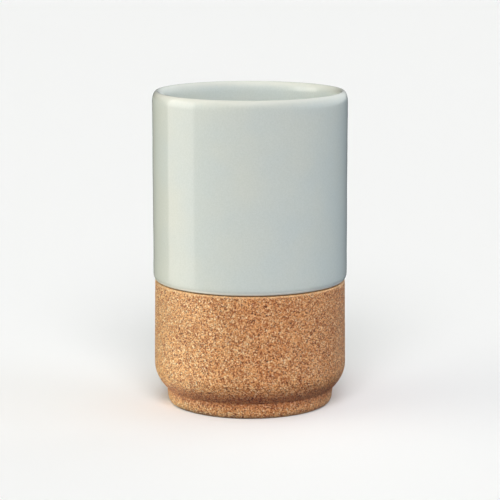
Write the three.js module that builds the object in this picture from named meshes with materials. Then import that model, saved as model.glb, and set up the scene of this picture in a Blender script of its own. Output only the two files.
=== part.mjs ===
// Ceramic tumbler seated in a cork base, in millimetres, +Z up, standing on z = 0.
// Both pieces are turned about the Z axis: a glazed stoneware cup whose narrower lower part, the
// spigot, drops into a turned cork base and rests on its floor.
import * as THREE from 'three';

// Turning
const SEGMENTS = 72;
const CHORD_ERROR = 0.04;

// Overall
const TOTAL_HEIGHT = 130;
const CUP_RADIUS = 40;

// Gaps between the two pieces
const SEAT_GAP = 0.3;
const SOCKET_GAP = 0.3;
const SHADOW_GAP = 0.4;

// Cork base, outside
const CORK_HEIGHT = 51.6;
const CORK_TOP_RADIUS = 39.4;
const CORK_WIDEST_RADIUS = 39.75;
const CORK_RIM_ROUNDING = 0.7;
const SHOULDER_START_Z = 16.8;
const SHOULDER_RADIAL = 30;
const SHOULDER_AXIAL = 18.5;
const NECK_RADIUS = 34.7;
const FOOT_RADIUS = 34.3;
const FOOT_EDGE_RADIAL = 2.2;
const FOOT_EDGE_AXIAL = 3.2;

// Cork base, inside
const CORK_FLOOR = 9;
const SOCKET_CORNER = 4;

// Cup, outside
const RIM_OUTER_RADIAL = 1.9;
const RIM_OUTER_AXIAL = 4.6;
const SKIRT_ARC = 4;
const SKIRT_TURN_DEG = 34;
const SKIRT_EDGE = 0.7;
const SPIGOT_TOP_RADIUS = 35.1;
const SPIGOT_FOOT_RADIUS = 34.5;
const SPIGOT_CORNER = 5.4;
const SPIGOT_NECK_FILLET = 0.8;

// Cup, inside
const WALL = 3.8;
const RIM_INNER_AXIAL = 4.6;
const SPIGOT_WALL = 3;
const CUP_FLOOR = 3.7;
const INSIDE_CORNER = 6;
const STEP_LOW_Z = 50;
const STEP_HIGH_Z = 62;
const STEP_POINTS = 6;

// Unglazed foot ring under the cup
const RING_OUTER = 29.1;
const RING_INNER = 24.5;
const RING_HEIGHT = 1;
const RING_SLOPE = 0.8;

const GLAZE_COLOUR = 0xbfc6be;
const GLAZE_ROUGHNESS = 0.12;
const CORK_COLOUR = 0xc6946a;
const CORK_ROUGHNESS = 0.9;

// Points of an elliptical arc about (centreR, centreZ), both ends included, angles from +R towards +Z.
// No chord strays further than CHORD_ERROR from the arc.
function arc(centreR, centreZ, radial, axial, fromDeg, toDeg) {
  const stepDeg = 2 * THREE.MathUtils.radToDeg(Math.acos(1 - CHORD_ERROR / Math.max(radial, axial)));
  const steps = Math.ceil(Math.abs(toDeg - fromDeg) / stepDeg);
  const points = [];
  for (let i = 0; i <= steps; i += 1) {
    const angle = THREE.MathUtils.degToRad(fromDeg + ((toDeg - fromDeg) * i) / steps);
    points.push([centreR + radial * Math.cos(angle), centreZ + axial * Math.sin(angle)]);
  }
  return points;
}

// A smooth S from one radius to another, without its two ends.
function easedStep(fromR, fromZ, toR, toZ) {
  const points = [];
  for (let i = 1; i < STEP_POINTS; i += 1) {
    const along = i / STEP_POINTS;
    const eased = (1 - Math.cos(Math.PI * along)) / 2;
    points.push([fromR + (toR - fromR) * eased, fromZ + (toZ - fromZ) * along]);
  }
  return points;
}

// The radius that a straight taper has at height z.
function taperRadius(z, lowZ, lowR, highZ, highR) {
  return lowR + ((highR - lowR) * (z - lowZ)) / (highZ - lowZ);
}

// Turns an outline of [radius, height] pairs about +Z. It runs from the axis at the bottom, up the
// outside, and back down the inside to the axis.
function turned(name, outline, material) {
  const geometry = new THREE.LatheGeometry(
    outline.map(([r, z]) => new THREE.Vector2(r, z)),
    SEGMENTS,
  );
  geometry.rotateX(Math.PI / 2);
  const mesh = new THREE.Mesh(geometry, material);
  mesh.name = name;
  return mesh;
}

const seatZ = CORK_FLOOR + SEAT_GAP;
const skirtZ = CORK_HEIGHT + SHADOW_GAP;

function spigotRadius(z) {
  return taperRadius(z, seatZ, SPIGOT_FOOT_RADIUS, skirtZ, SPIGOT_TOP_RADIUS);
}

function corkOutline() {
  const neckDeg = THREE.MathUtils.radToDeg(
    Math.acos(1 - (CORK_WIDEST_RADIUS - NECK_RADIUS) / SHOULDER_RADIAL),
  );
  const rimZ = CORK_HEIGHT - CORK_RIM_ROUNDING;
  const mouthRadius = spigotRadius(CORK_HEIGHT) + SOCKET_GAP;
  const cornerZ = CORK_FLOOR + SOCKET_CORNER;
  const socketRadius = spigotRadius(cornerZ) + SOCKET_GAP;
  return [
    [0, 0],
    ...arc(FOOT_RADIUS - FOOT_EDGE_RADIAL, FOOT_EDGE_AXIAL, FOOT_EDGE_RADIAL, FOOT_EDGE_AXIAL, -90, 0),
    ...arc(
      CORK_WIDEST_RADIUS - SHOULDER_RADIAL,
      SHOULDER_START_Z,
      SHOULDER_RADIAL,
      SHOULDER_AXIAL,
      -neckDeg,
      0,
    ),
    ...arc(CORK_TOP_RADIUS - CORK_RIM_ROUNDING, rimZ, CORK_RIM_ROUNDING, CORK_RIM_ROUNDING, 0, 90),
    [mouthRadius, CORK_HEIGHT],
    ...arc(socketRadius - SOCKET_CORNER, cornerZ, SOCKET_CORNER, SOCKET_CORNER, 0, -90),
    [0, CORK_FLOOR],
  ];
}

function cupOutside() {
  const edgeTurn = THREE.MathUtils.degToRad(SKIRT_TURN_DEG);
  const skirtCentreZ = skirtZ + SKIRT_EDGE + (SKIRT_ARC - SKIRT_EDGE) * Math.sin(edgeTurn);
  const edgeCentreR = CUP_RADIUS - SKIRT_ARC + (SKIRT_ARC - SKIRT_EDGE) * Math.cos(edgeTurn);
  const neckFilletZ = skirtZ - SPIGOT_NECK_FILLET;
  const cornerZ = seatZ + SPIGOT_CORNER;
  return [
    [0, seatZ + RING_HEIGHT],
    [RING_INNER - RING_SLOPE, seatZ + RING_HEIGHT],
    [RING_INNER, seatZ],
    [RING_OUTER, seatZ],
    ...arc(spigotRadius(cornerZ) - SPIGOT_CORNER, cornerZ, SPIGOT_CORNER, SPIGOT_CORNER, -90, 0).slice(1),
    ...arc(
      spigotRadius(neckFilletZ) + SPIGOT_NECK_FILLET,
      neckFilletZ,
      SPIGOT_NECK_FILLET,
      SPIGOT_NECK_FILLET,
      180,
      90,
    ),
    ...arc(edgeCentreR, skirtZ + SKIRT_EDGE, SKIRT_EDGE, SKIRT_EDGE, -90, -SKIRT_TURN_DEG),
    ...arc(CUP_RADIUS - SKIRT_ARC, skirtCentreZ, SKIRT_ARC, SKIRT_ARC, -SKIRT_TURN_DEG, 0).slice(1),
    ...arc(
      CUP_RADIUS - RIM_OUTER_RADIAL,
      TOTAL_HEIGHT - RIM_OUTER_AXIAL,
      RIM_OUTER_RADIAL,
      RIM_OUTER_AXIAL,
      0,
      90,
    ),
  ];
}

function cupInside() {
  const innerRadius = CUP_RADIUS - WALL;
  const rimInnerRadial = WALL - RIM_OUTER_RADIAL;
  const floorZ = seatZ + CUP_FLOOR;
  const cornerZ = floorZ + INSIDE_CORNER;
  const stepRadius = spigotRadius(STEP_LOW_Z) - SPIGOT_WALL;
  const cornerRadius = spigotRadius(cornerZ) - SPIGOT_WALL;
  return [
    ...arc(
      innerRadius + rimInnerRadial,
      TOTAL_HEIGHT - RIM_INNER_AXIAL,
      rimInnerRadial,
      RIM_INNER_AXIAL,
      90,
      180,
    ).slice(1),
    [innerRadius, STEP_HIGH_Z],
    ...easedStep(innerRadius, STEP_HIGH_Z, stepRadius, STEP_LOW_Z),
    [stepRadius, STEP_LOW_Z],
    ...arc(cornerRadius - INSIDE_CORNER, cornerZ, INSIDE_CORNER, INSIDE_CORNER, 0, -90),
    [0, floorZ],
  ];
}

function buildCup() {
  const glaze = new THREE.MeshStandardMaterial({
    color: GLAZE_COLOUR,
    roughness: GLAZE_ROUGHNESS,
    metalness: 0,
  });
  return turned('ceramic_cup', [...cupOutside(), ...cupInside()], glaze);
}

function buildCorkBase() {
  const cork = new THREE.MeshStandardMaterial({
    color: CORK_COLOUR,
    roughness: CORK_ROUGHNESS,
    metalness: 0,
  });
  return turned('cork_base', corkOutline(), cork);
}

const tumbler = new THREE.Group();
tumbler.name = 'tumbler';
tumbler.add(buildCorkBase());
tumbler.add(buildCup());

export default tumbler;
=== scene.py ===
"""Looks of the ceramic tumbler in its cork base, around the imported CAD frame.

Everything is in metres and in the frame's own axes, +Z up, the tumbler standing on z = 0,
except where a comment says millimetres.
"""
import math

import bpy
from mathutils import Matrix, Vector


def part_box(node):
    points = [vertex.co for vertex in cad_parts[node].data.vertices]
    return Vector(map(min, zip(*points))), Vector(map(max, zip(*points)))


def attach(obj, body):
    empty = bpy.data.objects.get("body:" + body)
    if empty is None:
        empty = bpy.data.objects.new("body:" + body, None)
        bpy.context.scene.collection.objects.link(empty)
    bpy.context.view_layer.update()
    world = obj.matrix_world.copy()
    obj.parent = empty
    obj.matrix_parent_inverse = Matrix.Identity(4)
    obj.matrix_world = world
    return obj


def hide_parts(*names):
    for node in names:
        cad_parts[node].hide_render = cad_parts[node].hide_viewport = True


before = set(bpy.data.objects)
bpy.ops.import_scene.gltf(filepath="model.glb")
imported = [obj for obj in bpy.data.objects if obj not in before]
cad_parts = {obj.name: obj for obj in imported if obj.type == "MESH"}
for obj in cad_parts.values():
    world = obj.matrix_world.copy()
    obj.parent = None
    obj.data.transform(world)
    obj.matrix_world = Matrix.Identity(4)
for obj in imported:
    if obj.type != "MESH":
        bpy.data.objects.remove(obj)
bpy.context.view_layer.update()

MM = 0.001

# Sizes that the frame gives
CORK_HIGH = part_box("cork_base")[1]
CUP_LOW, CUP_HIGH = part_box("ceramic_cup")
CUP_RADIUS = CUP_HIGH.x
CUP_TOP = CUP_HIGH.z
CUP_SEAT = CUP_LOW.z
CORK_WIDEST = CORK_HIGH.x
CORK_TOP = CORK_HIGH.z

# Gaps between the two pieces, as in part.mjs
SEAT_GAP = 0.3 * MM
SOCKET_GAP = 0.3 * MM
SHADOW_GAP = 0.4 * MM

# Cork base, as in part.mjs
CORK_TOP_DRAWN_IN = 0.35 * MM
CORK_TOP_RADIUS = CORK_WIDEST - CORK_TOP_DRAWN_IN
CORK_RIM_ROUNDING = 0.7 * MM
CORK_FLOOR = CUP_SEAT - SEAT_GAP
SOCKET_CORNER = 4 * MM
SHOULDER_START = 16.8 * MM
SHOULDER_RADIAL = 30 * MM
SHOULDER_AXIAL = 18.5 * MM
NECK_RADIUS = 34.7 * MM
FOOT_RADIUS = 34.3 * MM
FOOT_EDGE_RADIAL = 2.2 * MM
FOOT_EDGE_AXIAL = 3.2 * MM

# Cup, as in part.mjs, turns in degrees
SKIRT_LOW = CORK_TOP + SHADOW_GAP
SKIRT_ARC = 4 * MM
SKIRT_TURN = 34
SKIRT_EDGE = 0.7 * MM
RIM_OUTER_RADIAL = 1.9 * MM
RIM_OUTER_AXIAL = 4.6 * MM
RIM_INNER_AXIAL = 4.6 * MM
WALL = 3.8 * MM
SPIGOT_TOP_RADIUS = 35.1 * MM
SPIGOT_FOOT_RADIUS = 34.5 * MM
SPIGOT_CORNER = 5.4 * MM
SPIGOT_NECK_FILLET = 0.8 * MM
SPIGOT_WALL = 3 * MM
CUP_FLOOR = 3.7 * MM
INSIDE_CORNER = 6 * MM
STEP_LOW = 50 * MM
STEP_HIGH = 62 * MM
RING_OUTER = 29.1 * MM
RING_INNER = 24.5 * MM
RING_HEIGHT = 1 * MM
RING_SLOPE = 0.8 * MM

# Mesh fineness: pieces round, longest stretch up the outline, degrees of an arc, points of an S
CUP_SEGMENTS = 288
CUP_STEP = 1.3 * MM
CORK_SEGMENTS = 400
CORK_STEP = 0.56 * MM
CORK_HIDDEN_STEP = 1.1 * MM
ARC_STEP = 5
EASED_STEPS = 12


# ---------------------------------------------------------------- outlines and turned meshes


def placed(name, data):
    """A new object in the scene."""
    made = bpy.data.objects.new(name, data)
    bpy.context.scene.collection.objects.link(made)
    return made


def arc(centre_r, centre_z, radial, axial, start, end):
    """Points of an elliptical arc in the (radius, height) plane, angles in degrees from +R."""
    steps = max(2, round(abs(end - start) / ARC_STEP))
    points = []
    for i in range(steps + 1):
        angle = math.radians(start + (end - start) * i / steps)
        points.append((centre_r + radial * math.cos(angle), centre_z + axial * math.sin(angle)))
    return points


def eased_step(start, end):
    """A smooth S between two (radius, height) points, without its ends."""
    points = []
    for i in range(1, EASED_STEPS):
        along = i / EASED_STEPS
        eased = (1 - math.cos(math.pi * along)) / 2
        points.append((start[0] + (end[0] - start[0]) * eased, start[1] + (end[1] - start[1]) * along))
    return points


def divided(outline, step):
    """The outline with its long stretches divided, so that no stretch is longer than step."""
    points = [outline[0]]
    for (r0, z0), (r1, z1) in zip(outline, outline[1:]):
        count = max(1, math.ceil(math.hypot(r1 - r0, z1 - z0) / step))
        points += [(r0 + (r1 - r0) * i / count, z0 + (z1 - z0) * i / count) for i in range(1, count + 1)]
    return points


def turned(name, outline, segments, wobble=None):
    """A closed mesh turned about Z. The outline runs from the axis at the bottom, up the outside
    and back to the axis. wobble(angle, r, z) gives the radius and height that the point really has."""
    vertices = [(0, 0, outline[0][1])]
    rings = outline[1:-1]
    for r, z in rings:
        for k in range(segments):
            angle = 2 * math.pi * k / segments
            at_r, at_z = wobble(angle, r, z) if wobble else (r, z)
            vertices.append((at_r * math.cos(angle), at_r * math.sin(angle), at_z))
    vertices.append((0, 0, outline[-1][1]))
    last = len(vertices) - 1
    faces = []
    for k in range(segments):
        after = (k + 1) % segments
        faces.append((0, 1 + after, 1 + k))
        faces.append((last, last - segments + k, last - segments + after))
        for ring in range(len(rings) - 1):
            low = 1 + ring * segments
            high = low + segments
            faces.append((low + k, low + after, high + after, high + k))
    mesh = bpy.data.meshes.new(name)
    mesh.from_pydata(vertices, [], faces)
    mesh.shade_smooth()
    mesh.update()
    return placed(name, mesh)


def spigot_radius(z):
    """The radius that the spigot's taper has at height z."""
    along = (z - CUP_SEAT) / (SKIRT_LOW - CUP_SEAT)
    return SPIGOT_FOOT_RADIUS + (SPIGOT_TOP_RADIUS - SPIGOT_FOOT_RADIUS) * along


def cup_outside():
    """From the axis under the foot ring, up the spigot, round the skirt and up to the top of the lip."""
    turn = math.radians(SKIRT_TURN)
    skirt_z = SKIRT_LOW + SKIRT_EDGE + (SKIRT_ARC - SKIRT_EDGE) * math.sin(turn)
    edge_r = CUP_RADIUS - SKIRT_ARC + (SKIRT_ARC - SKIRT_EDGE) * math.cos(turn)
    neck_z = SKIRT_LOW - SPIGOT_NECK_FILLET
    neck_r = spigot_radius(neck_z) + SPIGOT_NECK_FILLET
    corner_z = CUP_SEAT + SPIGOT_CORNER
    corner_r = spigot_radius(corner_z) - SPIGOT_CORNER
    rim_r = CUP_RADIUS - RIM_OUTER_RADIAL
    rim_z = CUP_TOP - RIM_OUTER_AXIAL
    points = [(0, CUP_SEAT + RING_HEIGHT), (RING_INNER - RING_SLOPE, CUP_SEAT + RING_HEIGHT)]
    points += [(RING_INNER, CUP_SEAT), (RING_OUTER, CUP_SEAT)]
    points += arc(corner_r, corner_z, SPIGOT_CORNER, SPIGOT_CORNER, -90, 0)[1:]
    points += arc(neck_r, neck_z, SPIGOT_NECK_FILLET, SPIGOT_NECK_FILLET, 180, 90)
    points += arc(edge_r, SKIRT_LOW + SKIRT_EDGE, SKIRT_EDGE, SKIRT_EDGE, -90, -SKIRT_TURN)
    points += arc(CUP_RADIUS - SKIRT_ARC, skirt_z, SKIRT_ARC, SKIRT_ARC, -SKIRT_TURN, 0)[1:]
    points += arc(rim_r, rim_z, RIM_OUTER_RADIAL, RIM_OUTER_AXIAL, 0, 90)
    return points


def cup_inside():
    """From the top of the lip down the inside to the axis."""
    inner = CUP_RADIUS - WALL
    rim_inner = WALL - RIM_OUTER_RADIAL
    floor_z = CUP_SEAT + CUP_FLOOR
    corner_z = floor_z + INSIDE_CORNER
    corner_r = spigot_radius(corner_z) - SPIGOT_WALL - INSIDE_CORNER
    step_r = spigot_radius(STEP_LOW) - SPIGOT_WALL
    points = arc(inner + rim_inner, CUP_TOP - RIM_INNER_AXIAL, rim_inner, RIM_INNER_AXIAL, 90, 180)[1:]
    points += [(inner, STEP_HIGH)]
    points += eased_step((inner, STEP_HIGH), (step_r, STEP_LOW))
    points += [(step_r, STEP_LOW)]
    points += arc(corner_r, corner_z, INSIDE_CORNER, INSIDE_CORNER, 0, -90)
    points += [(0, floor_z)]
    return points


def cork_outline():
    """From the axis underneath, up the outside, over the rim and down the socket to the axis."""
    foot_r = FOOT_RADIUS - FOOT_EDGE_RADIAL
    shoulder_r = CORK_WIDEST - SHOULDER_RADIAL
    neck_turn = math.degrees(math.acos(1 - (CORK_WIDEST - NECK_RADIUS) / SHOULDER_RADIAL))
    rim_r = CORK_TOP_RADIUS - CORK_RIM_ROUNDING
    rim_z = CORK_TOP - CORK_RIM_ROUNDING
    mouth_r = spigot_radius(CORK_TOP) + SOCKET_GAP
    corner_z = CORK_FLOOR + SOCKET_CORNER
    corner_r = spigot_radius(corner_z) + SOCKET_GAP - SOCKET_CORNER
    points = [(0, 0)]
    points += arc(foot_r, FOOT_EDGE_AXIAL, FOOT_EDGE_RADIAL, FOOT_EDGE_AXIAL, -90, 0)
    points += arc(shoulder_r, SHOULDER_START, SHOULDER_RADIAL, SHOULDER_AXIAL, -neck_turn, 0)
    points += arc(rim_r, rim_z, CORK_RIM_ROUNDING, CORK_RIM_ROUNDING, 0, 90)
    points += [(mouth_r, CORK_TOP)]
    points += arc(corner_r, corner_z, SOCKET_CORNER, SOCKET_CORNER, 0, -90)
    points += [(0, CORK_FLOOR)]
    return points


def cork_rings():
    """The cork's outline, finely divided where it shows and less so inside the socket and underneath."""
    outline = cork_outline()
    foot = next(i for i, (r, z) in enumerate(outline) if z > 0)
    mouth = next(i for i in range(foot, len(outline)) if outline[i][1] == CORK_TOP)
    under = divided(outline[:foot], CORK_HIDDEN_STEP)
    side = divided(outline[foot - 1 : mouth + 1], CORK_STEP)
    inside = divided(outline[mouth:], CORK_HIDDEN_STEP)
    return under + side[1:] + inside[1:]


# How the cup's outer wall wanders. Sizes are in millimetres, and heights are shares of the wall's own.
# Each wave has its size, waves round, radians more up the whole wall, and radians it starts at.
# The oval grows towards the lip, the swell is just above the skirt, and the lip's own waves, dip and
# wear grow from LIP_HEIGHT up.
OVAL = (0.045, 2, 0, 0.7)
WAVES = ((0.03, 3, 2, 2.1), (0.03, 1, 9, 0), (0.02, 2, 21, 1))
SWELL = 0.05
SWELL_HEIGHT = 0.07
SWELL_REACH = 0.04
FADED_HEIGHT = 0.05
LIP_HEIGHT = 0.88
LIP_LEAN = (-0.06, 1, 0, math.pi / 2)
LIP_WAVE = (0.03, 4, 0, 1)
LIP_DIP = (0.05, 2, 0, 2.6)
LIP_WORN = 0.05
WALL_MARGIN = 0.1 * MM


def wave(settings, angle, height):
    size, waves_round, climb, start = settings
    return size * math.sin(waves_round * angle + climb * height + start)


def handmade(angle, r, z):
    """The cup's outer wall wanders by about a tenth of a millimetre, as cast and fettled clay does."""
    if r < CUP_RADIUS - WALL - WALL_MARGIN or z < SKIRT_LOW + WALL_MARGIN:
        return r, z
    height = (z - SKIRT_LOW) / (CUP_TOP - SKIRT_LOW)
    fade = min(1, height / FADED_HEIGHT)
    lip = max(0, (height - LIP_HEIGHT) / (1 - LIP_HEIGHT))
    out = wave(OVAL, angle, height) * height + sum(wave(each, angle, height) for each in WAVES)
    out += SWELL * math.exp(-(((height - SWELL_HEIGHT) / SWELL_REACH) ** 2))
    out += lip * lip * (wave(LIP_LEAN, angle, height) + wave(LIP_WAVE, angle, height))
    drop = lip * (wave(LIP_DIP, angle, height) - LIP_WORN)
    return r + fade * out * MM, z + drop * MM


# ---------------------------------------------------------------- nodes


def srgb(red, green, blue):
    """A linear colour from 0-255 display values."""
    def linear(value):
        value /= 255
        return value / 12.92 if value <= 0.04045 else ((value + 0.055) / 1.055) ** 2.4

    return (linear(red), linear(green), linear(blue), 1)


def add(tree, kind, inputs=(), **settings):
    """A new node. inputs are (name or number, value or socket) pairs."""
    made = tree.nodes.new(kind)
    for name, value in settings.items():
        setattr(made, name, value)
    for key, value in inputs:
        if isinstance(value, bpy.types.NodeSocket):
            tree.links.new(value, made.inputs[key])
        else:
            made.inputs[key].default_value = value
    return made


def calc(tree, operation, *values):
    """A Math node's result."""
    return add(tree, "ShaderNodeMath", enumerate(values), operation=operation).outputs[0]


def product(tree, first, second):
    return calc(tree, "MULTIPLY", first, second)


def vector(tree, operation, *values):
    """A Vector Math node's resulting vector."""
    return add(tree, "ShaderNodeVectorMath", enumerate(values), operation=operation).outputs["Vector"]


def smooth(tree, value, low, high, at_low=0.0, at_high=1.0):
    """value eased from at_low to at_high as it goes from low to high."""
    ranged = add(
        tree,
        "ShaderNodeMapRange",
        (("Value", value), ("From Min", low), ("From Max", high), ("To Min", at_low), ("To Max", at_high)),
        interpolation_type="SMOOTHSTEP",
    )
    return ranged.outputs["Result"]


def noise(tree, where, scale, detail=2.0, output="Fac"):
    made = add(tree, "ShaderNodeTexNoise", (("Vector", where), ("Scale", scale), ("Detail", detail)))
    return made.outputs[output]


def cells(tree, where, spacing, feature="F1"):
    """A Voronoi node: cells about spacing across. Its distances are shares of spacing."""
    return add(tree, "ShaderNodeTexVoronoi", (("Vector", where), ("Scale", 1 / spacing)), feature=feature)


def channels(tree, triple):
    """The three numbers of a position, or the three random numbers in a cell's colour."""
    split = add(tree, "ShaderNodeSeparateXYZ", (("Vector", triple),))
    return split.outputs[0], split.outputs[1], split.outputs[2]


def ramp(tree, value, stops):
    """A colour ramp. stops are (place, colour) pairs."""
    made = add(tree, "ShaderNodeValToRGB", (("Fac", value),))
    elements = made.color_ramp.elements
    while len(elements) < len(stops):
        elements.new(1)
    for element, (place, colour) in zip(elements, stops):
        element.position = place
        element.color = colour
    return made.outputs["Color"]


def mix(tree, factor, first, second, blend="MIX"):
    made = add(
        tree,
        "ShaderNodeMix",
        ((0, factor), (6, first), (7, second)),
        data_type="RGBA",
        blend_type=blend,
    )
    return made.outputs[2]


def stained(tree, colour, mask, share, stain):
    """The colour with this share of the stain over it, where the mask is 1."""
    return mix(tree, product(tree, mask, share), colour, stain)


def in_millimetres(tree, position):
    return vector(tree, "MULTIPLY", position, (1 / MM, 1 / MM, 1 / MM))


def bumped(tree, height, strength, distance):
    """The normal that a Bump node makes of height."""
    inputs = (("Strength", strength), ("Distance", distance), ("Height", height))
    return add(tree, "ShaderNodeBump", inputs).outputs["Normal"]


def new_material(name):
    """A new material and its Principled shader."""
    made = bpy.data.materials.new(name)
    made.use_nodes = True
    return made, made.node_tree.nodes["Principled BSDF"]


# ---------------------------------------------------------------- cork

# Grain. Lengths are in millimetres and scales per millimetre; reaches and edges are shares of a cell.
# A cell has a random chance number from 0 to 1: pits and dark specks are in the cells above one value,
# pale specks in those below another.
GRANULE = 0.5
FINE_GRANULE = 0.34
BEND = 0.9
BEND_SCALE = 1.1
CREVICE_REACH = 0.11
PIT_SPACING = 3.4
PIT_REACH = (0.06, 0.17)
PIT_EDGE = 0.06
PIT_ABOVE = 0.55
SPECK_SPACING = 1.12
SPECK_REACH = (0.12, 0.26)
SPECK_EDGE = 0.05
DARK_ABOVE = 0.42
PALE_BELOW = 0.22

# Relief, in millimetres
CREVICE_DEPTH = 0.07
PIT_DEPTH = 0.3
SOFT_DEPTH = 0.06

# Colour. Ramps have places and colours; stains have their share and colour. Between the two values of
# FINE_SHARE, a coarse granule's number changes it from its own colour to those of the fine granules.
GRANULE_COLOURS = (
    (0.0, srgb(80, 30, 9)),
    (0.18, srgb(160, 82, 38)),
    (0.5, srgb(225, 151, 88)),
    (0.8, srgb(253, 194, 129)),
    (1.0, srgb(254, 229, 184)),
)
FINE_SHARE = (0.35, 0.65)
DARK_SPECK = (0.92, srgb(62, 25, 11))
PALE_SPECK = (0.8, srgb(246, 226, 196))
CREVICE_STAIN = (0.55, srgb(138, 82, 50))
PIT_STAIN = (0.7, srgb(80, 38, 22))
CLOUD_SCALE = 0.07
CLOUD_SHADES = ((0.3, srgb(240, 235, 231)), (0.7, srgb(251, 249, 248)))

# Painted light: the cork is made paler and yellower on its -X side, where the left softbox shines.
# It fades out between these x, in millimetres, moved by up to the ragged amount below
PAINTED_LIGHT_SIDE = (-28, 16)
PAINTED_LIGHT_RAGGED = 16.0
PAINTED_LIGHT_TINT = (1.03, 1.23, 1.35)

# Painted shade: a darker band in the neck's crease under the shoulder, which fades over GROOVE_REACH
# above and below it. Painted highlight: a paler line along the rim's edge. Heights in millimetres
GROOVE_HEIGHT = 8.0
GROOVE_REACH = (0.5, 5.5)
GROOVE_PAINTED_SHADE = srgb(232, 203, 192)
RIM_HIGHLIGHT_REACH = 1.0
RIM_PAINTED_HIGHLIGHT = (0.3, srgb(252, 220, 168))

# Shading. A bump is its strength and its distance.
CORK_ROUGHNESS = (0.45, 0.6)
CORK_SPECULAR = 0.55
CRUMB_SCALE = 5.0
FINE_BUMP = 0.5
CREVICE_BUMP = 0.4
CORK_BUMP = (0.8, 0.08 * MM)


def cork_grain(tree, position):
    """The cork's granules, as sockets that the relief and the colour share, from a position in metres."""
    where = in_millimetres(tree, position)
    bend = noise(tree, where, BEND_SCALE, detail=1.0, output="Color")
    bend = vector(tree, "SUBTRACT", bend, (0.5, 0.5, 0.5))
    bend = vector(tree, "MULTIPLY", bend, (BEND, BEND, BEND))
    bent = vector(tree, "ADD", where, bend)
    coarse = cells(tree, bent, GRANULE)
    fine = cells(tree, bent, FINE_GRANULE)
    gap = cells(tree, bent, GRANULE, feature="DISTANCE_TO_EDGE").outputs["Distance"]
    pits = cells(tree, bent, PIT_SPACING)
    pit_chance, pit_size, _ = channels(tree, pits.outputs["Color"])
    pit_reach = smooth(tree, pit_size, 0, 1, *PIT_REACH)
    pit = calc(tree, "SUBTRACT", pit_reach, pits.outputs["Distance"])
    pit = smooth(tree, pit, 0, PIT_EDGE)
    return {
        "where": where,
        "bent": bent,
        "coarse": coarse.outputs["Color"],
        "fine": fine.outputs["Color"],
        "crevice": smooth(tree, gap, 0.0, CREVICE_REACH, 1.0, 0.0),
        "pit": product(tree, pit, calc(tree, "GREATER_THAN", pit_chance, PIT_ABOVE)),
    }


def cork_relief(piece):
    """Sinks the cork's surface at its pits, in the crevices between granules and at the soft granules."""
    tree = bpy.data.node_groups.new("cork_relief", "GeometryNodeTree")
    tree.interface.new_socket("Geometry", in_out="INPUT", socket_type="NodeSocketGeometry")
    tree.interface.new_socket("Geometry", in_out="OUTPUT", socket_type="NodeSocketGeometry")
    start = add(tree, "NodeGroupInput").outputs[0]
    position = add(tree, "GeometryNodeInputPosition").outputs[0]
    normal = add(tree, "GeometryNodeInputNormal").outputs[0]
    grain = cork_grain(tree, position)
    softness = channels(tree, grain["coarse"])[2]
    depth = product(tree, grain["crevice"], CREVICE_DEPTH)
    depth = calc(tree, "MULTIPLY_ADD", softness, SOFT_DEPTH, depth)
    depth = calc(tree, "MULTIPLY_ADD", grain["pit"], PIT_DEPTH, depth)
    sink = add(
        tree,
        "ShaderNodeVectorMath",
        ((0, normal), ("Scale", product(tree, depth, -MM))),
        operation="SCALE",
    )
    moved = add(
        tree,
        "GeometryNodeSetPosition",
        (("Geometry", start), ("Offset", sink.outputs["Vector"])),
    )
    add(tree, "NodeGroupOutput", ((0, moved.outputs[0]),))
    relief = piece.modifiers.new("relief", "NODES")
    relief.node_group = tree


def speckled(tree, colour, bent):
    """The colour with scattered dark and pale specks over it."""
    specks = cells(tree, bent, SPECK_SPACING)
    chance, size, _ = channels(tree, specks.outputs["Color"])
    reach = smooth(tree, size, 0, 1, *SPECK_REACH)
    speck = calc(tree, "SUBTRACT", reach, specks.outputs["Distance"])
    speck = smooth(tree, speck, 0, SPECK_EDGE)
    dark = product(tree, speck, calc(tree, "GREATER_THAN", chance, DARK_ABOVE))
    pale = product(tree, speck, calc(tree, "LESS_THAN", chance, PALE_BELOW))
    colour = stained(tree, colour, dark, *DARK_SPECK)
    return stained(tree, colour, pale, *PALE_SPECK)


def cork_colour(tree, grain):
    tone, share, _ = channels(tree, grain["coarse"])
    fine_tone = channels(tree, grain["fine"])[0]
    x, _, z = channels(tree, grain["where"])
    coarse_colour = ramp(tree, tone, GRANULE_COLOURS)
    fine_colour = ramp(tree, fine_tone, GRANULE_COLOURS)
    colour = mix(tree, smooth(tree, share, *FINE_SHARE), coarse_colour, fine_colour)
    colour = speckled(tree, colour, grain["bent"])
    colour = stained(tree, colour, grain["crevice"], *CREVICE_STAIN)
    colour = stained(tree, colour, grain["pit"], *PIT_STAIN)
    clouds = noise(tree, grain["where"], CLOUD_SCALE)
    colour = mix(tree, 1.0, colour, ramp(tree, clouds, CLOUD_SHADES), blend="MULTIPLY")
    # Painted light: paler and yellower on the -X side, where the left softbox shines
    painted_light_side = calc(tree, "MULTIPLY_ADD", clouds, PAINTED_LIGHT_RAGGED, x)
    painted_light_side = smooth(tree, painted_light_side, *PAINTED_LIGHT_SIDE, 1.0, 0.0)
    colour = mix(tree, painted_light_side, colour, vector(tree, "MULTIPLY", colour, PAINTED_LIGHT_TINT))
    # Painted shade: a darker band in the neck's crease under the shoulder
    groove = calc(tree, "ABSOLUTE", calc(tree, "SUBTRACT", z, GROOVE_HEIGHT))
    groove = smooth(tree, groove, *GROOVE_REACH, 1.0, 0.0)
    colour = mix(tree, groove, colour, GROOVE_PAINTED_SHADE, blend="MULTIPLY")
    # Painted highlight: a paler line along the rim's edge
    top = CORK_TOP / MM
    rim = smooth(tree, z, top - RIM_HIGHLIGHT_REACH, top - RIM_HIGHLIGHT_REACH / 3)
    return stained(tree, colour, rim, *RIM_PAINTED_HIGHLIGHT)


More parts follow.
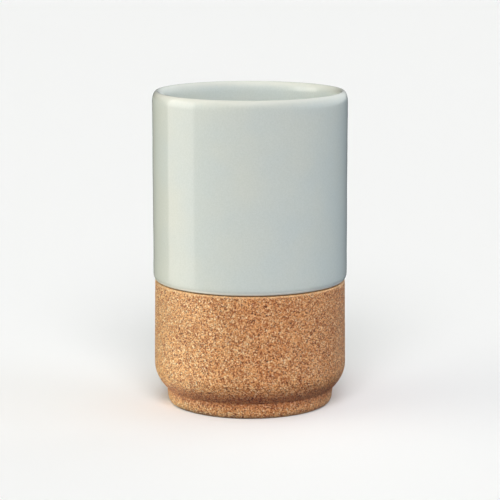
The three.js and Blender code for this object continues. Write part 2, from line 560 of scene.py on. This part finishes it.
def cork_material():
    """Fine agglomerated cork: granules of two sizes, specks, crevices and pits, with painted light on its
    -X side, painted shade in the neck's crease and a painted highlight along the rim.
    """
    made, shader = new_material("cork")
    tree = made.node_tree
    grain = cork_grain(tree, add(tree, "ShaderNodeTexCoord").outputs["Object"])
    fine_tone = channels(tree, grain["fine"])[0]
    tree.links.new(cork_colour(tree, grain), shader.inputs["Base Color"])
    tree.links.new(smooth(tree, fine_tone, 0, 1, *CORK_ROUGHNESS), shader.inputs["Roughness"])
    shader.inputs["Specular IOR Level"].default_value = CORK_SPECULAR
    crumbs = noise(tree, grain["where"], CRUMB_SCALE, detail=3.0)
    height = calc(tree, "MULTIPLY_ADD", fine_tone, FINE_BUMP, crumbs)
    height = calc(tree, "SUBTRACT", height, product(tree, grain["crevice"], CREVICE_BUMP))
    tree.links.new(bumped(tree, height, *CORK_BUMP), shader.inputs["Normal"])
    return made


# ---------------------------------------------------------------- glaze

# Colour. Lengths are in millimetres and scales per millimetre. The lip's colour comes in between the
# two heights of LIP_REACH, counted from the cup's top.
GLAZE_SCALE = 0.045
GLAZE_COLOURS = ((0.35, srgb(201, 209, 206)), (0.65, srgb(206, 211, 204)))
CRYSTAL_SCALE = 1.6
CRYSTAL_SHADES = ((0.35, srgb(248, 249, 248)), (0.65, srgb(255, 255, 255)))
LIP_COLOUR = srgb(213, 215, 206)
LIP_REACH = (-2.6, 0.6)
LIP_RAGGED = 1.6
LIP_RAGGED_SCALE = 0.5

# The paler edge of the skirt, partly glaze thinning over it and partly a painted highlight line: heights
# # above its lowest point, and depths inside the cup's radius
EDGE_REACH = (0.7, 1.5)
EDGE_INSIDE = (3.5, 2)
EDGE_THINNING_AND_HIGHLIGHT = (0.9, srgb(238, 240, 234))

# Bare clay on the foot ring: heights above the seat, and distances from the ring's inner edge
BARE_REACH = (1.6, 1.9)
BARE_INSIDE = (-0.9, -0.6)
BARE_RAGGED = 0.5
BARE_RAGGED_SCALE = 0.4
GRIT_SCALE = 3.0
CLAY_COLOURS = ((0.3, srgb(196, 180, 154)), (0.7, srgb(222, 210, 188)))

# Shading. A bump is its strength and its distance.
GLAZE_ROUGHNESS = 0.34
CLAY_ROUGHNESS = 0.85
COAT_ROUGHNESS = 0.03
COAT_IOR = 1.52
GLAZE_SPECULAR = 0.3
PEEL_SCALE = 0.25
PINHOLE_SPACING = 7
PINHOLE_REACH = 0.02
PINHOLE_DEPTH = 0.6
GLAZE_BUMP = (0.25, 0.05 * MM)


def glaze_colour(tree, where, z, radius):
    """Pale grey-green, creamy where the glaze thins over the lip, paler along the skirt's edge, where the
    glaze thins and a highlight line is painted.
    """
    colour = ramp(tree, noise(tree, where, GLAZE_SCALE), GLAZE_COLOURS)
    crystals = ramp(tree, noise(tree, where, CRYSTAL_SCALE, detail=3.0), CRYSTAL_SHADES)
    colour = mix(tree, 1.0, colour, crystals, blend="MULTIPLY")
    ragged = calc(tree, "MULTIPLY_ADD", noise(tree, where, LIP_RAGGED_SCALE), LIP_RAGGED, z)
    lip = smooth(tree, ragged, *(CUP_TOP / MM + reach for reach in LIP_REACH))
    colour = mix(tree, lip, colour, LIP_COLOUR)
    # Paler along the skirt's edge: glaze thinning over it, and a painted highlight line
    edge = smooth(tree, z, *(SKIRT_LOW / MM + reach for reach in EDGE_REACH), 1.0, 0.0)
    outermost = smooth(tree, radius, *(CUP_RADIUS / MM - inside for inside in EDGE_INSIDE))
    return stained(tree, colour, product(tree, edge, outermost), *EDGE_THINNING_AND_HIGHLIGHT)


def bare_clay(tree, where, z, radius):
    """1 on the foot ring, where the glaze was wiped off, and 0 elsewhere."""
    ragged = calc(tree, "MULTIPLY_ADD", noise(tree, where, BARE_RAGGED_SCALE), BARE_RAGGED, z)
    low = smooth(tree, ragged, *(CUP_SEAT / MM + reach for reach in BARE_REACH), 1.0, 0.0)
    ring = smooth(tree, radius, *(RING_INNER / MM + reach for reach in BARE_INSIDE))
    return product(tree, low, ring)


def glaze_material():
    """Celadon glaze under a clear glossy coat, with bare clay on the foot ring."""
    made, shader = new_material("celadon_glaze")
    tree = made.node_tree
    where = in_millimetres(tree, add(tree, "ShaderNodeTexCoord").outputs["Object"])
    x, y, z = channels(tree, where)
    radius = calc(tree, "SQRT", calc(tree, "ADD", calc(tree, "POWER", x, 2.0), calc(tree, "POWER", y, 2.0)))
    bare = bare_clay(tree, where, z, radius)
    clay = ramp(tree, noise(tree, where, GRIT_SCALE, detail=3.0), CLAY_COLOURS)
    colour = mix(tree, bare, glaze_colour(tree, where, z, radius), clay)
    tree.links.new(colour, shader.inputs["Base Color"])
    roughness = smooth(tree, bare, 0, 1, GLAZE_ROUGHNESS, CLAY_ROUGHNESS)
    tree.links.new(roughness, shader.inputs["Roughness"])
    tree.links.new(smooth(tree, bare, 0, 1, 1.0, 0.0), shader.inputs["Coat Weight"])
    shader.inputs["Coat Roughness"].default_value = COAT_ROUGHNESS
    shader.inputs["Coat IOR"].default_value = COAT_IOR
    shader.inputs["Specular IOR Level"].default_value = GLAZE_SPECULAR
    pinhole = cells(tree, where, PINHOLE_SPACING).outputs["Distance"]
    pinhole = smooth(tree, pinhole, 0.0, PINHOLE_REACH, -PINHOLE_DEPTH, 0.0)
    height = calc(tree, "ADD", noise(tree, where, PEEL_SCALE, detail=1.0), pinhole)
    normal = bumped(tree, height, *GLAZE_BUMP)
    tree.links.new(normal, shader.inputs["Normal"])
    tree.links.new(normal, shader.inputs["Coat Normal"])
    return made


# ---------------------------------------------------------------- the two pieces

cork = turned("turned_cork_base", cork_rings(), CORK_SEGMENTS)
cork_relief(cork)
cork.data.materials.append(cork_material())
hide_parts("cork_base")
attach(cork, "base")

cup = turned("glazed_cup", divided(cup_outside() + cup_inside(), CUP_STEP), CUP_SEGMENTS, handmade)
cup.data.materials.append(glaze_material())
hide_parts("ceramic_cup")
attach(cup, "cup")

# ---------------------------------------------------------------- floor and backdrop

FLOOR_HALF = 6
FLOOR_COLOUR = (0.97, 0.97, 0.97, 1)
FLOOR_SPECULAR = 0.1

BACKDROP_RADIUS = 5.9
BACKDROP_LOW = -0.01
BACKDROP_HIGH = 5
BACKDROP_SEGMENTS = 96
BACKDROP_COLOUR = (0.86, 0.87, 0.87, 1)


def level_square(name, height):
    """A square mesh the size of the floor."""
    half = FLOOR_HALF
    corners = ((-half, -half), (half, -half), (half, half), (-half, half))
    mesh = bpy.data.meshes.new(name)
    mesh.from_pydata([(x, y, height) for x, y in corners], [], [(0, 1, 2, 3)])
    return mesh


def glowing(mesh, name):
    """Gives the mesh a material with nothing but its output, and returns that material's nodes."""
    made, shader = new_material(name)
    made.node_tree.nodes.remove(shader)
    mesh.materials.append(made)
    return made.node_tree


def emission(tree, colour, strength):
    return add(tree, "ShaderNodeEmission", (("Color", colour), ("Strength", strength))).outputs[0]


def floor():
    """A plain pale floor, which throws no light back at the pieces and casts no shadow."""
    mesh = level_square("floor", 0)
    made = placed("floor", mesh)
    paint, shader = new_material("floor")
    shader.inputs["Base Color"].default_value = FLOOR_COLOUR
    shader.inputs["Roughness"].default_value = 1
    shader.inputs["Specular IOR Level"].default_value = FLOOR_SPECULAR
    mesh.materials.append(paint)
    made.visible_diffuse = False
    made.visible_shadow = False


def backdrop():
    """A pale round wall far behind everything, which only the camera sees."""
    vertices = []
    faces = []
    count = 2 * BACKDROP_SEGMENTS
    for k in range(BACKDROP_SEGMENTS):
        angle = 2 * math.pi * k / BACKDROP_SEGMENTS
        x = BACKDROP_RADIUS * math.cos(angle)
        y = BACKDROP_RADIUS * math.sin(angle)
        vertices += [(x, y, BACKDROP_LOW), (x, y, BACKDROP_HIGH)]
        low = 2 * k
        faces.append((low, low + 1, (low + 3) % count, (low + 2) % count))
    mesh = bpy.data.meshes.new("backdrop")
    mesh.from_pydata(vertices, [], faces)
    made = placed("backdrop", mesh)
    made.visible_diffuse = False
    made.visible_glossy = False
    made.visible_transmission = False
    made.visible_volume_scatter = False
    made.visible_shadow = False
    tree = glowing(mesh, "backdrop")
    tree.links.new(emission(tree, BACKDROP_COLOUR, 1), tree.nodes["Material Output"].inputs["Surface"])


# ---------------------------------------------------------------- light

# Lights that leave the floor alone shine on these.
the_pieces = bpy.data.collections.new("the_pieces")
the_pieces.objects.link(cork)
the_pieces.objects.link(cup)

# Softboxes: place, aim, width, height, watts, colour, whether the glaze mirrors it
LEFT_STRIP_LOWER = (
    (-0.25, -0.0285, 0.0645), (0, -0.0285, 0.0645), 0.187, 0.121, 0.085, (1, 0.92, 0.87), True
)
LEFT_STRIP_UPPER = (
    (-0.25, -0.0285, 0.185), (0, -0.0285, 0.185), 0.187, 0.12, 0.145, (1, 0.935, 0.88), True
)
FLOOR_BOUNCE = (
    (-0.051, -0.042, 0.0005), (-0.051, -0.042, 1), 0.04, 0.075, 0.009, (1, 0.88, 0.6), False
)

# Fills: turn from the front and elevation in degrees, spread in degrees, strength, colour
FRONT_FILL = (0, 38, 40, 2.56, (1, 0.985, 1))
RIGHT_FILL = (80, 10, 40, 0.85, (0.82, 0.89, 0.97))
LEFT_FILL = (-80, 32, 50, 0.32, (1, 1, 0.9))
TOP_FILL = (0, 90, 30, 0.28, (1, 1, 1))
BACK_FILL = (180, 8, 60, 0.8, (1, 0.99, 1))

# Glows of the world: azimuth from +X and elevation in degrees, sharpness, strength, colour
WORLD_GLOWS = (
    (180, 15, 4, 0.7, (1, 1, 0.8, 1)),
    (225, 10, 4, 0.5, (1, 1, 0.9, 1)),
    (0, 15, 4, 0.35, (0.8, 0.9, 1, 1)),
    (45, 15, 4, 1.0, (0.95, 1, 1, 1)),
)

# Glows that the glaze mirrors from the floor: azimuth from +X in degrees, sharpness, share of its
# strength that it has within GLOW_NEAR of the Z axis, strength from GLOW_FAR outwards, colour
MIRROR_HEIGHT = 0.3 * MM
GLOW_NEAR = 0.04
GLOW_FAR = 0.12
FLOOR_GLOWS = (
    (262, 1, 0.7, 0.72, (0.97, 1, 1, 1)),
    (262, 0, 0.7, 0.09, (0.8, 0.9, 1, 1)),
    (150, 2, 0.5, 0.35, (0.93, 1, 0.8, 1)),
    (30, 2, 0.5, 0.12, (0.6, 0.8, 1, 1)),
)

# The left strip's light on the floor, as the glaze mirrors it: a trapezium with soft edges,
# from x = SHINE_FAR to SHINE_NEAR. It fades sideways between the SHINE_SIDE shares of its half width.
SHINE = 1.3
SHINE_COLOUR = (1, 0.93, 0.87, 1)
SHINE_NEAR = -0.05
SHINE_FAR = -0.25
SHINE_MIDDLE = -0.0285
SHINE_HALF_NEAR = 0.03
SHINE_HALF_FAR = 0.1
SHINE_SIDE = (0.7, 1.3)
SHINE_END = 0.02
SHINE_NEAR_SHARE = 0.6


def softbox(place, aim, width, height, watts, colour, mirrored):
    data = bpy.data.lights.new("softbox", "AREA")
    data.shape = "RECTANGLE"
    data.size = width
    data.size_y = height
    data.energy = watts
    data.color = colour
    made = placed("softbox", data)
    made.location = place
    made.rotation_mode = "QUATERNION"
    made.rotation_quaternion = (Vector(aim) - Vector(place)).to_track_quat("-Z", "Y")
    made.visible_camera = False
    made.visible_glossy = mirrored
    made.light_linking.receiver_collection = the_pieces


def fill(turn, elevation, spread, strength, colour):
    """Broad light that leaves no highlight of its own."""
    data = bpy.data.lights.new("fill", "SUN")
    data.angle = math.radians(spread)
    data.energy = strength
    data.color = colour
    made = placed("fill", data)
    made.rotation_euler = (math.radians(90 - elevation), 0, math.radians(turn))
    made.visible_glossy = False
    return made


def lobe(tree, way, azimuth, elevation, sharpness, strength):
    """strength towards a direction, fading to nothing at right angles to it as a power of the cosine.
    The azimuth is from +X, and both angles are in degrees."""
    azimuth = math.radians(azimuth)
    elevation = math.radians(elevation)
    level = math.cos(elevation)
    direction = (level * math.cos(azimuth), level * math.sin(azimuth), math.sin(elevation))
    facing = add(tree, "ShaderNodeVectorMath", ((0, way), (1, direction)), operation="DOT_PRODUCT")
    facing = calc(tree, "MAXIMUM", facing.outputs["Value"], 0.0)
    return product(tree, calc(tree, "POWER", facing, sharpness), strength)


def summed(tree, glows):
    """One shader with the light of all the glows."""
    total = glows[0]
    for glow in glows[1:]:
        total = add(tree, "ShaderNodeAddShader", ((0, total), (1, glow))).outputs[0]
    return total


def studio_world():
    """Soft light from all round, brightest towards each glow."""
    world = bpy.data.worlds.new("studio")
    bpy.context.scene.world = world
    world.use_nodes = True
    tree = world.node_tree
    tree.nodes.remove(tree.nodes["Background"])
    way = add(tree, "ShaderNodeTexCoord").outputs["Generated"]
    glows = []
    for azimuth, elevation, sharpness, strength, colour in WORLD_GLOWS:
        level = lobe(tree, way, azimuth, elevation, sharpness, strength)
        glow = add(tree, "ShaderNodeBackground", (("Color", colour), ("Strength", level)))
        glows.append(glow.outputs[0])
    tree.links.new(summed(tree, glows), tree.nodes["World Output"].inputs["Surface"])


def strip_shine(tree, where):
    """How bright the left strip's light on the floor is there."""
    x, y, _ = channels(tree, where)
    half_width = smooth(tree, x, SHINE_FAR, SHINE_NEAR, SHINE_HALF_FAR, SHINE_HALF_NEAR)
    aside = calc(tree, "ABSOLUTE", calc(tree, "SUBTRACT", y, SHINE_MIDDLE))
    level = smooth(tree, calc(tree, "DIVIDE", aside, half_width), *SHINE_SIDE, SHINE, 0.0)
    level = product(tree, level, smooth(tree, x, SHINE_NEAR, SHINE_NEAR + SHINE_END, 1.0, 0.0))
    level = product(tree, level, smooth(tree, x, SHINE_FAR - SHINE_END, SHINE_FAR))
    return product(tree, level, smooth(tree, x, SHINE_FAR, SHINE_NEAR, 1.0, SHINE_NEAR_SHARE))


def floor_mirror():
    """What the glaze mirrors of the floor: a card just above it that only reflections see."""
    mesh = level_square("floor_mirror", MIRROR_HEIGHT)
    made = placed("floor_mirror", mesh)
    made.visible_camera = False
    made.visible_diffuse = False
    made.visible_shadow = False
    tree = glowing(mesh, "floor_mirror")
    where = add(tree, "ShaderNodeTexCoord").outputs["Object"]
    flat = vector(tree, "MULTIPLY", where, (1, 1, 0))
    radius = add(tree, "ShaderNodeVectorMath", ((0, flat),), operation="LENGTH").outputs["Value"]
    way = vector(tree, "NORMALIZE", flat)
    glows = [emission(tree, SHINE_COLOUR, strip_shine(tree, where))]
    for azimuth, sharpness, near_share, strength, colour in FLOOR_GLOWS:
        level = lobe(tree, way, azimuth, 0, sharpness, strength)
        level = product(tree, level, smooth(tree, radius, GLOW_NEAR, GLOW_FAR, near_share, 1))
        glows.append(emission(tree, colour, level))
    tree.links.new(summed(tree, glows), tree.nodes["Material Output"].inputs["Surface"])


floor()
backdrop()
floor_mirror()
softbox(*LEFT_STRIP_LOWER)
softbox(*LEFT_STRIP_UPPER)
softbox(*FLOOR_BOUNCE)
fill(*FRONT_FILL)
fill(*RIGHT_FILL)
fill(*LEFT_FILL)
fill(*TOP_FILL)
fill(*BACK_FILL).light_linking.receiver_collection = the_pieces
studio_world()

# ---------------------------------------------------------------- camera

CAMERA_DISTANCE = 0.88
CAMERA_HEIGHT = 0.2235
CAMERA_TILT = math.radians(10.3)
SENSOR = 36
FOCAL_LENGTH = 155.4
NEAREST = 0.05
FARTHEST = 40

camera_data = bpy.data.cameras.new("camera")
camera_data.sensor_width = SENSOR
camera_data.lens = FOCAL_LENGTH
camera_data.clip_start = NEAREST
camera_data.clip_end = FARTHEST
camera = placed("camera", camera_data)
camera.location = (0, -CAMERA_DISTANCE, CAMERA_HEIGHT)
camera.rotation_euler = (math.pi / 2 - CAMERA_TILT, 0, 0)
bpy.context.scene.camera = camera
bpy.context.scene.view_settings.view_transform = "Standard"
